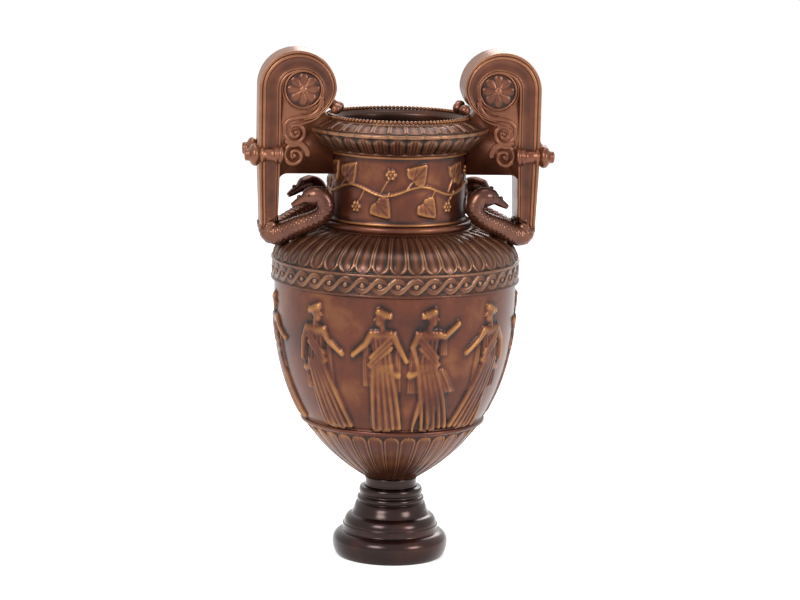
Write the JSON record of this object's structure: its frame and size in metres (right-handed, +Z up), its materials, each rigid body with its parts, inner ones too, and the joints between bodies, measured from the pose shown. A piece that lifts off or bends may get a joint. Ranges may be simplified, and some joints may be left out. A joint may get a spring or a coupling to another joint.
{
  "type": "volute krater vase",
  "caption": "Bronze volute krater: gadrooned bowl with figured frieze on a turned foot, flared tongue-cut rim, scrolled handles standing on swan heads.",
  "frame": {"origin": "centre of the foot's rest circle, on the surface that the vase stands on", "axes": "+Z up the vase's axis, X through the two handles, front of the vase towards -Y"},
  "size_m": [0.279, 0.2256, 0.4645],
  "materials": {
    "body_bronze": "brown patinated bronze, rubbed golden on high points, dark in recesses",
    "foot_bronze": "dark glossy patinated bronze",
    "handle_bronze": "copper brown patinated bronze, satin",
    "swan_bronze": "plum brown patinated bronze, glossy",
    "steel": "plain steel fixings"
  },
  "bodies": {
    "root": {"foot": "foot_bronze", "foot_collar": "foot_bronze", "calyx": "body_bronze", "belly": "body_bronze", "shoulder": "body_bronze", "neck_ring": "body_bronze", "neck": "body_bronze", "rim": "body_bronze", "tie_rod": "steel", "foot_washer": "steel", "foot_nut": "steel", "bowl_washer": "steel", "bowl_nut": "steel", "left_handle": "handle_bronze", "left_middle_stud": "handle_bronze", "left_front_rosette": "handle_bronze", "left_front_spindle": "handle_bronze", "left_front_swan": "swan_bronze", "left_front_stud": "handle_bronze", "left_front_neck_screw": "steel", "left_front_swan_screw": "steel", "left_rear_rosette": "handle_bronze", "left_rear_spindle": "handle_bronze", "left_rear_swan": "swan_bronze", "left_rear_stud": "handle_bronze", "left_rear_neck_screw": "steel", "left_rear_swan_screw": "steel", "right_handle": "handle_bronze", "right_middle_stud": "handle_bronze", "right_front_rosette": "handle_bronze", "right_front_spindle": "handle_bronze", "right_front_swan": "swan_bronze", "right_front_stud": "handle_bronze", "right_front_neck_screw": "steel", "right_front_swan_screw": "steel", "right_rear_rosette": "handle_bronze", "right_rear_spindle": "handle_bronze", "right_rear_swan": "swan_bronze", "right_rear_stud": "handle_bronze", "right_rear_neck_screw": "steel", "right_rear_swan_screw": "steel"}
  },
  "joints": []
}
